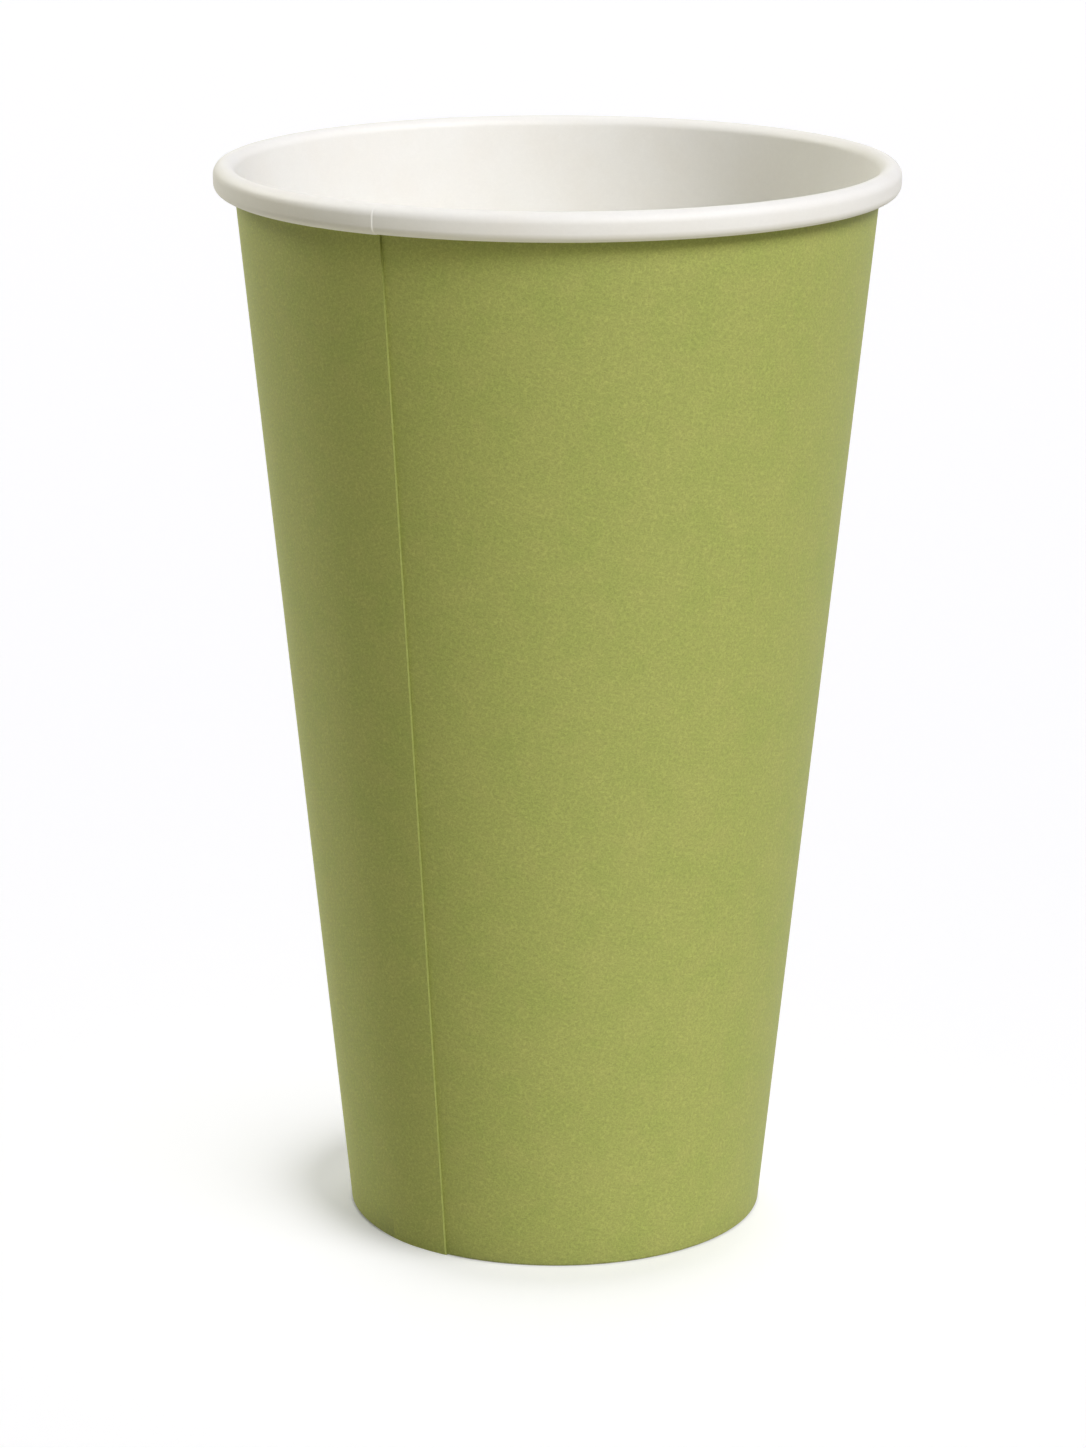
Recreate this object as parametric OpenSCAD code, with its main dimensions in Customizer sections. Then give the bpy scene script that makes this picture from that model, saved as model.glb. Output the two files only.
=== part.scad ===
// Paper coffee cup. One blank of board is wrapped into a cone and lapped at the side. Its top edge
// is rolled outwards into the rim, and its foot is folded in and up around the skirt of the disc.
// The foot stands on z = 0, and the cup's axis is Z. The outer ply's cut edge is at seam_a.

/* [Cup] */
// Height from the foot to the top of the rolled rim
cup_h = 143.6; // [110:0.1:180]
// Outer diameter of the rolled rim
rim_d = 90; // [84:0.5:96]
// Outer diameter of the foot
foot_d = 56.2; // [50:0.1:62]

/* [Board] */
// Thickness of the wall's board
wall_t = 0.4; // [0.3:0.01:0.5]
// Thickness of the bottom disc's board
disc_t = 0.3; // [0.2:0.01:0.4]
// Sealing film on each face of the disc's skirt
film_t = 0.02; // [0.01:0.01:0.04]

/* [Rolled rim] */
// Width of the roll, from the wall's inner face to the outside
roll_w = 2.93; // [2.6:0.01:3.3]
// Height of the roll
roll_h = 3.77; // [3.4:0.01:4.6]
// Length of the cut edge that is tucked up inside the roll
tuck_l = 0.9; // [0.4:0.1:1.2]
// Gap between the tucked edge and the wall
tuck_gap = 0.06; // [0.03:0.01:0.12]

/* [Side seam] */
// Direction of the outer ply's cut edge, from +X and seen from above
seam_a = -121; // [-180:1:180]
// Width of the lap at half height
lap_w = 7; // [5:0.5:10]
// How far the second ply swells the pressed roll
roll_swell = 0.1; // [0.04:0.01:0.16]

/* [Foot] */
// Height of the disc's upper face above the foot
disc_z = 9; // [7:0.1:14]
// Clear height between the disc's underside and the hem's top edge
hem_clear = 1.7; // [1:0.1:3]
// Inner corner radius of the fold at the foot
fold_r = 0.05; // [0.03:0.01:0.1]
// Outer radius of the bend between the disc and its skirt
bend_r = 0.8; // [0.5:0.1:1.5]

/* [Colours] */
// Printed outside of the wall
print_colour = "#9ca355"; // ["#9ca355":green, "#b08d62":kraft, "#f2f1ec":plain]
// Unprinted board of the bottom disc
board_colour = "#f0eee8"; // ["#f0eee8":white, "#d9c7a5":natural]

/* [Hidden] */
$fn = 144;
// Segments in a half turn of the roll, and in a corner of the fold or the disc
roll_steps = 18;
fold_steps = 6;

foot_r = foot_d / 2;
rim_r = rim_d / 2;
roll_r = roll_w / 2;
// Upper turn of the roll. The wall's inner face is tangent to it, which gives the wall's lean.
roll_top = [rim_r - roll_r, cup_h - roll_r];
wall_reach = roll_top - [foot_r, 0];
lean = atan2(wall_reach.x, wall_reach.y) - asin((roll_r - wall_t) / norm(wall_reach));

// Radius at height z of a face that is parallel to the wall, off by n from the printed face
function wall_x(n, z) = foot_r + n / cos(lean) + z * tan(lean);
function inner_x(z) = wall_x(-wall_t, z);

// Lower turn of the roll, which touches the roll's outside and stops short of the printed face
roll_z = cup_h - roll_h;
low_span = (rim_r - foot_r) * cos(lean) - roll_z * sin(lean) - tuck_gap;
low_r = low_span / (1 + cos(lean) + sin(lean));
roll_low = [rim_r - low_r, roll_z + low_r];

// The fold holds the disc's skirt in a slot, between the wall and the hem
slot_w = disc_t + 2 * film_t;
fold_z = fold_r + wall_t;
fold_out = [wall_x(-fold_z, fold_z), fold_z];
fold_in = [wall_x(-wall_t - slot_w + fold_r, fold_z), fold_z];
hem_z = disc_z - disc_t - hem_clear;

// The lap runs from the inner ply's cut edge to the outer ply's, and ends inside the roll
lap_a = lap_w / wall_x(0, cup_h / 2) * 180 / PI;
lap_top = roll_low.y - wall_t;
inner_edge_a = seam_a - lap_a;
// Left of the inner ply's edge the sheet comes down in a flat ramp, over this angle
ramp_spare = 1;
ramp_a = acos(inner_x(0) / foot_r) + ramp_spare;
// What lies on the sheet is sunk this far into it, and the ramp runs on by this angle under the ply
sink = wall_t / 2;
ramp_run_on = 0.3;
// The ramp is a little thinner than the board, so that its outer face ends inside the second ply
ramp_t = 0.9 * wall_t;

// Points [x, z, direction that the white face looks in] round a bend. The radius may change from
// r0 to r1 on the way. With side 1 the white face is outside the bend, with -1 inside it.
function bend(c, r0, r1, a0, a1, side, steps) = [
    for (i = [0:steps])
        let (k = i / steps, a = a0 + (a1 - a0) * k, r = r0 + (r1 - r0) * k)
            [c.x + r * cos(a), c.y + r * sin(a), side > 0 ? a : a + 180]
];

// The face of a sheet that lies n off the white face
function face(path, n) = [for (p = path) [p.x + n * cos(p.z), p.y + n * sin(p.z)]];
function reversed(list) = [for (i = [len(list) - 1:-1:0]) list[i]];

// White face of the hem and the fold, from the hem's top edge to the start of the wall
foot_path = concat(
    [[wall_x(-wall_t - slot_w, hem_z), hem_z, -lean]],
    bend(fold_in, fold_r, fold_r, 180 - lean, 270, -1, fold_steps),
    bend(fold_out, fold_r, fold_r, 270, 360 - lean, -1, fold_steps)
);

// White face of the roll's two turns. It is off by n0 at both ends and by n1 on the outside.
function roll_path(n0, n1) = concat(
    bend(roll_top, roll_r + n0, roll_r + n1, 180 - lean, 0, 1, roll_steps),
    bend(roll_low, low_r + n1, low_r + n0, 0, -180 - lean, 1, roll_steps)
);

// Section through the sheet: foot, wall, roll and tucked edge in one outline
module sheet_section() {
    tuck_z = roll_low.y + tuck_l;
    path = concat(foot_path, roll_path(0, 0), [[wall_x(tuck_gap, tuck_z), tuck_z, 180 - lean]]);
    polygon(concat(face(path, 0), reversed(face(path, -wall_t))));
}

// Section through the second ply of the lap. It is pressed flush under the foot.
module second_ply_section() {
    path = concat(foot_path, [[inner_x(lap_top), lap_top, 180 - lean]]);
    printed = face(path, -wall_t);
    outside = [
        for (i = [0:len(path) - 1])
            printed[i] - [wall_t * cos(path[i].z) / pow(cos(lean), 2), 0]
    ];
    polygon(concat(outside, reversed(face(path, sink - wall_t))));
}

// Section through what the second ply adds to the outside of the pressed roll
module roll_swell_section() {
    polygon(concat(
        face(roll_path(-roll_swell, roll_swell), 0),
        reversed(face(roll_path(0, 0), -sink))
    ));
}

// Turns a section from one direction to another, anticlockwise
module turned(from, to) rotate([0, 0, from]) rotate_extrude(angle = to - from) children();

// Slab of board along the ramp, from n0 to n1 off the plane in which the ramp's inner face lies.
// That plane passes through the outer corner of the inner ply's cut edge, at angle ramp_a.
module ramp_slab(n0, n1, z0, z1, to) {
    slab_lean = atan(tan(lean) * cos(ramp_a));
    slab_h = 2 * cup_h;
    rotate([0, 0, inner_edge_a - ramp_a])
        intersection() {
            translate([foot_r * cos(ramp_a), 0, 0])
                rotate([0, slab_lean, 0])
                    translate([n0, -rim_r, (cup_h - slab_h) / 2]) cube([n1 - n0, rim_d, slab_h]);
            turned(0, to) translate([foot_r / 2, z0]) square([rim_r, z1 - z0]);
        }
}

// Cone from just below the foot to the rim, up to a surface that is n off the printed face
module cone_within(n) {
    z0 = -1;
    translate([0, 0, z0]) cylinder(h = cup_h, r1 = wall_x(n, z0), r2 = wall_x(n, z0 + cup_h));
}

// Sheet that comes down from the top of the inner ply on to the cone
module lap_ramp() difference() {
    ramp_slab(0, ramp_t, 0, lap_top, ramp_a + ramp_run_on);
    cone_within(sink / 2 - wall_t);
}

// Hollow inside the cup, between the ramp and the inner ply's cut edge
module lap_hollow() {
    hollow_d = 2;
    ramp_slab(-hollow_d, film_t, disc_z, lap_top - wall_t, ramp_a);
}

// The sheet all round, with the second ply over the lap
module lapped_sheet() {
    rotate_extrude() sheet_section();
    turned(inner_edge_a, seam_a) second_ply_section();
}

module ramped_sheet() difference() {
    union() {
        lapped_sheet();
        lap_ramp();
    }
    lap_hollow();
}

// Wall, rolled rim, lapped seam and folded foot: one blank of board
module side_wall() color(print_colour) {
    ramped_sheet();
    turned(inner_edge_a, seam_a) roll_swell_section();
}

// Recessed disc, with its edge turned down into the fold
module bottom_disc() color(board_colour) {
    skirt_n = -wall_t - film_t;
    bend_z = disc_z - bend_r;
    skirt_z = fold_z + film_t;
    upper = concat(
        [[0, disc_z, 90]],
        bend([wall_x(skirt_n - bend_r, bend_z), bend_z], bend_r, bend_r, 90, -lean, 1, fold_steps),
        [[wall_x(skirt_n, skirt_z), skirt_z, -lean]]
    );
    rotate_extrude() polygon(concat(face(upper, 0), reversed(face(upper, -disc_t))));
}

side_wall();
bottom_disc();
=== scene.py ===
from math import asin, atan2, cos, degrees, exp, hypot, pi, radians, sin, tan

import bmesh
import bpy
from mathutils import Matrix, Vector


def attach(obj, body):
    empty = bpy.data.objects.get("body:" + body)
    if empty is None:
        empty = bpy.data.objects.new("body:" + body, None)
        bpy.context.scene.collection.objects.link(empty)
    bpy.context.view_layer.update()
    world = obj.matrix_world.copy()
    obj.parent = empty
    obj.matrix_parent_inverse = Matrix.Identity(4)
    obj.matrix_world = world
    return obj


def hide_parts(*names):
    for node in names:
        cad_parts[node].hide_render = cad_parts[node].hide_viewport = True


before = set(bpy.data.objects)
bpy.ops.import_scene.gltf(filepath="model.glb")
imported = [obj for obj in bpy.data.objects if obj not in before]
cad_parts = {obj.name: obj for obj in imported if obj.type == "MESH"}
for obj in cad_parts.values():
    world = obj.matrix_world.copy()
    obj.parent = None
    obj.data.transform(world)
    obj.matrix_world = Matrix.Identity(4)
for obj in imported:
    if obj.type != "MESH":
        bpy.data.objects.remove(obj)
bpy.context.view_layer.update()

# Lengths are in millimetres and angles in degrees, as in the CAD source. Meshes are made in metres.
mm = 0.001
cup = dict(height=143.6, rimR=45.0, footR=28.1, board=0.4)
disc = dict(z=9.0, board=0.3, film=0.02, bendR=0.8, bendSteps=8, rings=10, skirtRings=6, turns=180)


def smooth(value, start, end):
    t = min(max((value - start) / (end - start), 0), 1)
    return t * t * (3 - 2 * t)


def onRay(centre, r, a):
    return centre[0] + r * cos(radians(a)), centre[1] + r * sin(radians(a))


# Rising numbers from spans (start, end, count), the last end included
def stops(*spans):
    values = [s + (e - s) * i / n for s, e, n in spans for i in range(n)]
    return values + [spans[-1][1]]


# Points (x, z, direction that the white face looks in) round a bend of the board. With side 1 the
# white face is outside the bend, with -1 inside it.
def bend(centre, r, angles, side):
    turn = 0 if side > 0 else 180
    return [(*onRay(centre, r, a), a + turn) for a in angles]


# Points on the straight board between two points, without the two
def between(a, b, steps):
    return [
        (a[0] + (b[0] - a[0]) * i / steps, a[1] + (b[1] - a[1]) * i / steps, b[2])
        for i in range(1, steps)
    ]


# Linear colour of an sRGB one that is given in steps of 255
def linear(r, g, b):
    def one(c):
        c /= 255
        return c / 12.92 if c <= 0.04045 else ((c + 0.055) / 1.055) ** 2.4
    return one(r), one(g), one(b), 1


def asObject(name, bm):
    mesh = bpy.data.meshes.new(name)
    bm.to_mesh(mesh)
    bm.free()
    piece = bpy.data.objects.new(name, mesh)
    bpy.context.scene.collection.objects.link(piece)
    return piece


# Takes the sharpness off the board's cut edges
def softenEdges(piece, width):
    edges = piece.modifiers.new("cutEdges", "BEVEL")
    edges.width = width * mm
    edges.segments = 2
    edges.profile = 0.5
    edges.limit_method = "ANGLE"
    edges.angle_limit = radians(50)
    edges.harden_normals = True


# Adds nodes to a material or world, and links what it is given to their inputs
class Nodes:

    def __init__(self, owner):
        owner.use_nodes = True
        self.tree = owner.node_tree
        self.tree.nodes.clear()

    def add(self, kind, inputs=(), out=0, **settings):
        node = self.tree.nodes.new(kind)
        for key, value in settings.items():
            setattr(node, key, value)
        for key, value in dict(inputs).items():
            socket = node.inputs[key]
            if isinstance(value, bpy.types.NodeSocket):
                self.tree.links.new(value, socket)
            else:
                socket.default_value = value
        return node.outputs[out] if len(node.outputs) else None

    def noise(self, where, scale, detail=2, rough=0.5, stretch=None):
        if stretch:
            where = self.add("ShaderNodeMapping", {"Vector": where, "Scale": stretch})
        return self.add(
            "ShaderNodeTexNoise",
            {"Vector": where, "Scale": scale, "Detail": detail, "Roughness": rough},
        )

    def ramp(self, value, low, high, start=0.0, end=1.0):
        return self.add(
            "ShaderNodeMapRange",
            {"Value": value, "From Min": low, "From Max": high, "To Min": start, "To Max": end},
        )

    def maths(self, operation, a, b):
        return self.add("ShaderNodeMath", {0: a, 1: b}, operation=operation)

    def mix(self, share, a, b, blend="MIX"):
        inputs = {0: share, 6: a, 7: b}
        return self.add("ShaderNodeMix", inputs, 2, data_type="RGBA", blend_type=blend)

    # 1 where the camera, a reflection or a clear material looks straight at it, and otherwise 0
    def seen(self):
        rays = self.tree.nodes.new("ShaderNodeLightPath").outputs
        either = self.maths("MAXIMUM", rays["Is Camera Ray"], rays["Is Glossy Ray"])
        return self.maths("MAXIMUM", either, rays["Is Transmission Ray"])


# Paper board: cloudy tone, fine mottling, pale worm-like fibres, and bump and roughness that follow
# the mottling. Scales are in turns a millimetre.
def boardMaterial(name, look, where="UV"):
    material = bpy.data.materials.new(name)
    n = Nodes(material)
    place = n.add("ShaderNodeTexCoord", out=where)
    if where == "Object":
        place = n.add("ShaderNodeMapping", {"Vector": place, "Scale": (1 / mm,) * 3})
    cloud = n.noise(place, look["cloud"], 3, 0.55)
    patch = n.noise(place, look["cloud"] * 2.3, 2, 0.5)
    mottle = n.noise(place, look["mottle"], 4, 0.6)
    grain = n.noise(place, look["grain"], 2, 0.5)
    fibre = n.noise(place, look["grain"], 2, 0.5, stretch=(0.25, 1, 1))
    tone = n.mix(n.ramp(cloud, 0.35, 0.65), look["tone"], look["toneOther"])
    tone = n.mix(n.ramp(patch, 0.4, 0.7, 0, look["patch"]), tone, look["tonePatch"])
    speck = n.maths("ADD", n.maths("MULTIPLY", mottle, 0.6), n.maths("MULTIPLY", grain, 0.4))
    # The worm-like fibres follow the lines on which a soft noise crosses its middle value
    soft = n.noise(place, look["mottle"] * 0.8, 1, 0.4)
    ridge = n.maths("ABSOLUTE", n.maths("SUBTRACT", soft, 0.5), 0)
    worm = n.ramp(ridge, 0, 0.05, 0.7 * look["worm"], -0.3 * look["worm"])
    shade = n.maths("ADD", worm, n.ramp(speck, 0.35, 0.65, 1 - look["speck"], 1 + look["speck"]))
    grey = n.add("ShaderNodeCombineColor", {"Red": shade, "Green": shade, "Blue": shade})
    tone = n.mix(1.0, tone, grey, "MULTIPLY")
    height = n.maths("ADD", n.maths("MULTIPLY", mottle, 0.5), n.maths("MULTIPLY", fibre, 0.5))
    bump = n.add(
        "ShaderNodeBump",
        {"Strength": look["bump"], "Distance": look["relief"] * mm, "Height": height},
    )
    roughSpan = 0.06
    rough = n.ramp(mottle, 0.3, 0.7, look["rough"] - roughSpan, look["rough"] + roughSpan)
    shader = n.add("ShaderNodeBsdfPrincipled", {
        "Base Color": tone, "Roughness": rough, "Normal": bump, "Specular IOR Level": look["shine"],
    })
    n.add("ShaderNodeOutputMaterial", {"Surface": shader})
    return material


printed = boardMaterial("printedBoard", dict(
    tone=linear(162, 168, 88), toneOther=linear(157, 166, 84), tonePatch=linear(166, 169, 91),
    cloud=0.12, mottle=2.0, grain=5.0, patch=0.6, speck=0.14, worm=0.17,
    bump=0.8, relief=0.04, rough=0.62, shine=0.4,
))
coated = boardMaterial("coatedBoard", dict(
    tone=linear(234, 233, 223), toneOther=linear(233, 231, 220), tonePatch=linear(235, 234, 225),
    cloud=0.1, mottle=1.2, grain=4.0, patch=0.4, speck=0.01, worm=0.01,
    bump=0.5, relief=0.02, rough=0.55, shine=0.3,
))
cutEdge = boardMaterial("cutBoardEdge", dict(
    tone=linear(143, 150, 80), toneOther=linear(149, 156, 87), tonePatch=linear(139, 147, 75),
    cloud=0.5, mottle=2.5, grain=9.0, patch=0.5, speck=0.08, worm=0.05,
    bump=0.6, relief=0.04, rough=0.85, shine=0.1,
))
print("materials ready")


# Wall of the cup: one blank of board, wrapped into a cone, lapped, rolled and folded.
# A direction in the roll is 90 at its top, 0 on its outside and -90 on its underside. A wrap angle
# is 0 at the inner ply's cut edge and grows anticlockwise, once round and over the lap.

roll = dict(
    width=2.93, height=3.77, tuck=0.9, tuckGap=0.06,
    # Two plies swell the roll, full between these directions
    swell=0.07, swellIn=(95, 25), swellOut=(-70, -130),
    # Line that the rolling tool presses into it
    lineAt=-50, lineWide=3, lineDeep=0.03,
)
fold = dict(r=0.05, steps=8, hemClear=1.7, hemSteps=8)
lap = dict(
    edge=-121.0, width=7.0, film=0.01,
    # Wrap angles over which the outer ply rises over the inner ply's edge: on the wall, on the roll
    # outside, and where its end dives under the inner ply in the roll
    rise=24, rollRise=35, dive=3,
    # The inner ply is pressed in by this at the foot, over this wrap angle past the lap
    pressed=0.03, pressedOver=5,
    # Step on the roll's outside: past the lap by this angle, this soft, and how deep the ply starts
    rollStep=0.6, rollSoft=0.12, sunk=0.03,
)
# Distances along the sheet, from the start of the roll: the wall's lap turns into the roll's
# between the first two, and below the third the plies are pressed together
lapToRoll, pressedBelow = (-3, 1.4), -10

board = cup["board"]
rollR = roll["width"] / 2
rollTop = (cup["rimR"] - rollR, cup["height"] - rollR)
reach = (rollTop[0] - cup["footR"], rollTop[1])
lean = degrees(atan2(reach[0], reach[1]) - asin((rollR - board) / hypot(*reach)))
leanCos, leanSin, leanTan = (f(radians(lean)) for f in (cos, sin, tan))


# Radius at height z of a face that is parallel to the wall, off from the printed face
def wallX(off, z):
    return cup["footR"] + off / leanCos + z * leanTan


rollZ = cup["height"] - roll["height"]
lowSpan = (cup["rimR"] - cup["footR"]) * leanCos - rollZ * leanSin - roll["tuckGap"]
lowR = lowSpan / (1 + leanCos + leanSin)
rollLow = (cup["rimR"] - lowR, rollZ + lowR)
slotW = disc["board"] + 2 * disc["film"]
foldZ = fold["r"] + board
foldOut = (wallX(-foldZ, foldZ), foldZ)
foldIn = (wallX(-board - slotW + fold["r"], foldZ), foldZ)
hemZ = disc["z"] - disc["board"] - fold["hemClear"]

hemTop = (wallX(-board - slotW, hemZ), hemZ, -lean)
foldInside = bend(foldIn, fold["r"], stops((180 - lean, 270, fold["steps"])), -1)
foldOutside = bend(foldOut, fold["r"], stops((270, 360 - lean, fold["steps"])), -1)
upperTurn = bend(rollTop, rollR, stops((180 - lean, 0, 28)), 1)
# The lower turn has its rows close together at the pressed line
lowerAngles = stops((0, -38, 7), (-38, -62, 18), (-62, -180 - lean, 18))
lowerTurn = bend(rollLow, lowR, lowerAngles, 1)
tuckZ = rollLow[1] + roll["tuck"]
tuckEnd = (wallX(roll["tuckGap"], tuckZ), tuckZ, 180 - lean)
wallRows, tuckRows = 32, 3
sheet = (
    [hemTop, *between(hemTop, foldInside[0], fold["hemSteps"]), *foldInside, *foldOutside]
    + between(foldOutside[-1], upperTurn[0], wallRows)
    + [*upperTurn, *lowerTurn[1:], *between(lowerTurn[-1], tuckEnd, tuckRows), tuckEnd]
)

# Distance along the sheet, counted from the start of the upper turn
along = [0.0]
for a, b in zip(sheet, sheet[1:]):
    along.append(along[-1] + hypot(b[0] - a[0], b[1] - a[1]))
rollStart = along[sheet.index(upperTurn[0])]
along = [s - rollStart for s in along]
# Radius of the flat blank's fan at the start of the roll
fanR = upperTurn[0][0] / leanSin

lapTurn = degrees(lap["width"] / wallX(0, cup["height"] / 2))
innerEdge = lap["edge"] - lapTurn
wrapEnd = 360 + lapTurn
# Wrap angles of the sheet's columns, which lie close together at the plies' ends and at the step
columns = stops(
    (0, 3, 8), (3, lapTurn, 7), (lapTurn, lapTurn + 1.2, 24), (lapTurn + 1.2, 346, 204),
    (346, 360, 14), (360, 363, 8), (363, wrapEnd, 8),
)


# How far the wall stands off the cone at wrap angle a, to pass over the inner ply's edge
def wallOffset(a):
    return (board + lap["film"]) * smooth(a, 360 - lap["rise"], 360)


# How far the roll lies inside its plain shape. It is negative where two plies swell it.
def rollOffset(a, face):
    swell = roll["swell"] * smooth(face, *roll["swellIn"]) * (1 - smooth(face, *roll["swellOut"]))
    line = roll["lineDeep"] * exp(-(((face - roll["lineAt"]) / roll["lineWide"]) ** 2))
    if a < 180:
        stepAt = lapTurn + lap["rollStep"]
        sunk = lap["sunk"] * (1 - smooth(a, -1, lap["dive"]))
        swelled = 1 - smooth(a, stepAt - lap["rollSoft"], stepAt + lap["rollSoft"])
        return line + sunk - swell * swelled
    dive = (board + lap["film"]) * smooth(a, 360, 360 + lap["dive"])
    return line - swell * smooth(a, 360 - lap["rollRise"], 360) + dive


# Where a point of the flat blank lies on the cup
def onSheet(column, row):
    a, (x, z, face), s = columns[column], sheet[row], along[row]
    share = smooth(s, *lapToRoll)
    faceCos, faceSin = cos(radians(face)), sin(radians(face))
    past = smooth(a, lapTurn, lapTurn + lap["pressedOver"])
    pressed = lap["pressed"] * (1 - past) * max(faceSin, 0)
    off = rollOffset(a, face)
    x -= (1 - share) * wallOffset(a) * faceCos + share * off * faceCos
    z += (1 - share) * (pressed if s < pressedBelow else 0) - share * off * faceSin
    turn = radians(innerEdge + a)
    return Vector((x * cos(turn), x * sin(turn), z)) * mm


bm = bmesh.new()
boardUV = bm.loops.layers.uv.new("boardMillimetres")
bmesh.ops.create_grid(bm, x_segments=len(columns) - 1, y_segments=len(sheet) - 1, size=0.5)
bm.verts.ensure_lookup_table()
low = Vector((min(v.co.x for v in bm.verts), min(v.co.y for v in bm.verts)))
size = Vector((max(v.co.x for v in bm.verts), max(v.co.y for v in bm.verts))) - low
cells = {}
for v in bm.verts:
    cells[v] = (
        round((v.co.x - low.x) / size.x * (len(columns) - 1)),
        round((v.co.y - low.y) / size.y * (len(sheet) - 1)),
    )
for face in bm.faces:
    for loop in face.loops:
        column, row = cells[loop.vert]
        turn = radians(columns[column] - 180) * leanSin
        r = fanR + along[row]
        loop[boardUV].uv = (r * sin(turn), r * cos(turn) - fanR)
for v, (column, row) in cells.items():
    v.co = onSheet(column, row)
# The sheet's front is its white face, so halfway up the wall its normals look at the axis
bmesh.ops.recalc_face_normals(bm, faces=bm.faces[:])
bm.faces.ensure_lookup_table()
middle = min(bm.faces, key=lambda f: abs(f.calc_center_median().z - 70 * mm))
if middle.normal.xy.dot(middle.calc_center_median().xy) > 0:
    bmesh.ops.reverse_faces(bm, faces=bm.faces[:])
for face in bm.faces:
    face.smooth = True

cupWall = asObject("cupWall", bm)
for material in (coated, printed, cutEdge):
    cupWall.data.materials.append(material)
thick = cupWall.modifiers.new("boardThickness", "SOLIDIFY")
thick.thickness = board * mm
thick.offset = -1
thick.use_even_offset = True
thick.use_rim = True
thick.material_offset = 1
thick.material_offset_rim = 2
softenEdges(cupWall, 0.035)
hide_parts("side_wall")
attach(cupWall, "root")
print("wall ready:", len(cupWall.data.polygons), "faces of the sheet")


# Bottom disc with its skirt

skirtOff = -board - disc["film"]
bendZ = disc["z"] - disc["bendR"]
skirtZ = foldZ + disc["film"]
bendAt = (wallX(skirtOff - disc["bendR"], bendZ), bendZ)
discBend = bend(bendAt, disc["bendR"], stops((90, -lean, disc["bendSteps"])), 1)
middleTop = (0, disc["z"], 90)
skirtEnd = (wallX(skirtOff, skirtZ), skirtZ, -lean)
upper = [middleTop, *between(middleTop, discBend[0], disc["rings"]), *discBend]
upper += [*between(discBend[-1], skirtEnd, disc["skirtRings"]), skirtEnd]
under = [(*onRay(p[:2], -disc["board"], p[2]), p[2]) for p in upper]
# The middle lies exactly on the axis
under[0] = (0, disc["z"] - disc["board"], 90)

bm = bmesh.new()
outline = [bm.verts.new((x * mm, 0, z * mm)) for x, z, _ in upper + under[::-1]]
lines = [bm.edges.new(pair) for pair in zip(outline, outline[1:])]
bmesh.ops.spin(
    bm, geom=outline + lines, cent=(0, 0, 0), axis=(0, 0, 1), angle=2 * pi,
    steps=disc["turns"], use_merge=True,
)
bmesh.ops.remove_doubles(bm, verts=bm.verts[:], dist=0.001 * mm)
bmesh.ops.recalc_face_normals(bm, faces=bm.faces[:])
for face in bm.faces:
    face.smooth = True

cupBottom = asObject("cupBottom", bm)
cupBottom.data.materials.append(boardMaterial("discBoard", dict(
    tone=linear(240, 237, 230), toneOther=linear(238, 233, 224), tonePatch=linear(242, 239, 233),
    cloud=0.1, mottle=0.8, grain=4.0, patch=0.4, speck=0.015, worm=0.01,
    bump=0.4, relief=0.015, rough=0.55, shine=0.25,
), "Object"))
softenEdges(cupBottom, 0.03)
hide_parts("bottom_disc")
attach(cupBottom, "root")
print("bottom ready:", len(cupBottom.data.polygons), "faces")


# Floor. Looked at, it is pale paper with a glow. For light that comes off it on to the cup it is
# darker, and almost black close to the foot: painted shade that darkens the cup's foot.

paper = dict(
    radius=6, sides=96, fleck=900, pale=(0.84, 0.835, 0.86, 1), paler=(0.86, 0.855, 0.88, 1),
    # The last colour is painted shade: what the floor throws back close to the foot
    glow=0.3, bounce=(0.44, 0.41, 0.33, 1), footShadeColour=(0.06, 0.06, 0.05, 1),
)

bm = bmesh.new()
bmesh.ops.create_circle(bm, cap_ends=True, radius=paper["radius"], segments=paper["sides"])
floor = asObject("floor", bm)

material = bpy.data.materials.new("floorPaper")
n = Nodes(material)
seen = n.seen()
place = n.add("ShaderNodeTexCoord", out="Object")
away = n.add("ShaderNodeVectorMath", {0: place}, out="Value", operation="LENGTH")
foot = cup["footR"] * mm
pale = n.mix(n.noise(place, paper["fleck"], 2, 0.5), paper["pale"], paper["paler"])
# Painted contact shade: within about 3 mm of the foot the floor throws almost no light back on to
# the cup
footShadeMask = n.ramp(away, foot - 0.1 * mm, foot + 2.9 * mm)
bounce = n.mix(footShadeMask, paper["footShadeColour"], paper["bounce"])
# The glow leaves out what lies under the foot, so that the fold doesn't mirror it
# Fading over 0.3 mm each side of the foot's edge, it also paints a thin contact shadow on the floor
# round the foot.
glow = n.ramp(away, foot - 0.3 * mm, foot + 0.3 * mm, 0, paper["glow"])
shader = n.add("ShaderNodeBsdfPrincipled", {
    "Base Color": n.mix(seen, bounce, pale), "Roughness": 0.9,
    "Specular IOR Level": 0.1, "Emission Color": (1, 1, 1, 1),
    "Emission Strength": n.maths("MULTIPLY", seen, glow),
})
# The floor is clear from below, so that a view from there shows the foot
below = n.add("ShaderNodeNewGeometry", out="Backfacing")
clear = n.add("ShaderNodeBsdfTransparent")
surface = n.add("ShaderNodeMixShader", {0: below, 1: shader, 2: clear})
n.add("ShaderNodeOutputMaterial", {"Surface": surface})
floor.data.materials.append(material)

# World: white where it is looked at, and hardly any light on the cup

sky = dict(lit=0.02, seen=0.985)

world = bpy.data.worlds.new("studio")
bpy.context.scene.world = world
n = Nodes(world)
strength = n.ramp(n.seen(), 0, 1, sky["lit"], sky["seen"])
n.add("ShaderNodeOutputWorld", {
    "Surface": n.add("ShaderNodeBackground", {"Color": (1, 1, 1, 1), "Strength": strength}),
})


# Lamps like large, far windows. The angle is from the camera's side of the cup towards the right.

def group(name, *objects):
    found = bpy.data.collections.new(name)
    for one in objects:
        found.objects.link(one)
    return found


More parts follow.
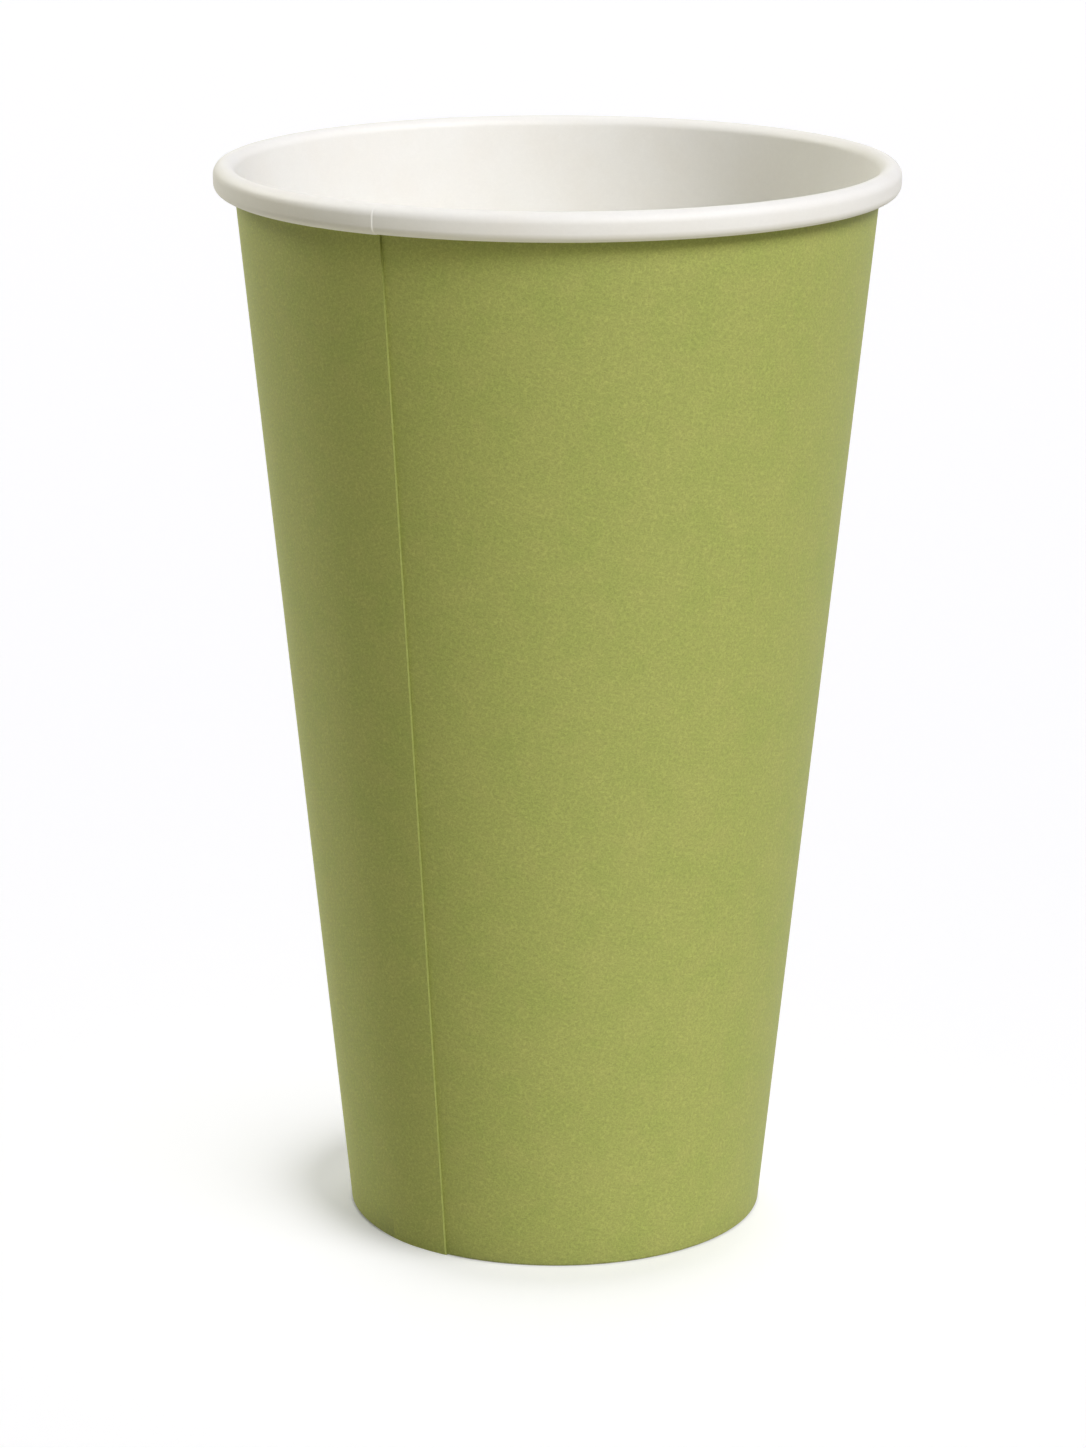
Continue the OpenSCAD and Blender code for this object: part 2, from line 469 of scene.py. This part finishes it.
def lamp(name, angle, height, spread, level, lit, colour=(1, 1, 1), shadows=None):
    data = bpy.data.lights.new(name, "SUN")
    data.angle = radians(spread)
    data.color = colour
    # A level of 1 renders a face that looks at the lamp in about its own colour
    data.energy = level * pi
    light = bpy.data.objects.new(name, data)
    light.rotation_euler = (radians(90 - height), 0, radians(angle))
    bpy.context.scene.collection.objects.link(light)
    light.light_linking.receiver_collection = lit
    if shadows:
        light.light_linking.blocker_collection = shadows


onCup = group("litCup", cupWall, cupBottom)
onFloor = group("litFloor", floor)
# The floor has lamps of its own, in which only the foot throws its short shadow, as in the photo
footShadow = group("footShadow", cupBottom)
lamp("key", 44, 40, 24, 0.86, onCup, colour=(1, 1, 1.16))
lamp("front", 20, 30, 24, 0.2, onCup, colour=(1, 0.95, 0.75))
lamp("fill", -60, 60, 40, 0.14, onCup)
lamp("kicker", -125, 28, 20, 0.52, onCup, colour=(1, 0.97, 0.9))
# Stands for the light that a wide pale table throws up on to the roll's underside
lamp("under", -45, -82, 40, 0.22, onCup, colour=(1, 0.98, 0.92), shadows=onCup)
lamp("floorLamp", 60, 31, 50, 0.98, onFloor, shadows=footShadow)
lamp("floorBack", 180, 35, 60, 0.45, onFloor, shadows=footShadow)


# Camera, fitted to the rim, the sides and the foot

shot = dict(y=-603.383, z=230.834, down=0.26487, yaw=-0.00292, roll=0.00168, lens=115.03)
ahead = Vector((
    sin(shot["yaw"]) * cos(shot["down"]), cos(shot["yaw"]) * cos(shot["down"]), -sin(shot["down"]),
))
right = ahead.cross(Vector((0, 0, 1))).normalized()
up = right.cross(ahead)
across = right * cos(shot["roll"]) + up * sin(shot["roll"])
upright = up * cos(shot["roll"]) - right * sin(shot["roll"])
data = bpy.data.cameras.new("camera")
data.lens = shot["lens"]
data.sensor_width = 36
data.clip_end = 50
camera = bpy.data.objects.new("camera", data)
bpy.context.scene.collection.objects.link(camera)
camera.matrix_world = Matrix.Translation(Vector((0, shot["y"], shot["z"])) * mm) @ Matrix(
    (across, upright, -ahead)
).transposed().to_4x4()
bpy.context.scene.camera = camera
bpy.context.scene.view_settings.view_transform = "Standard"
print("stage ready")
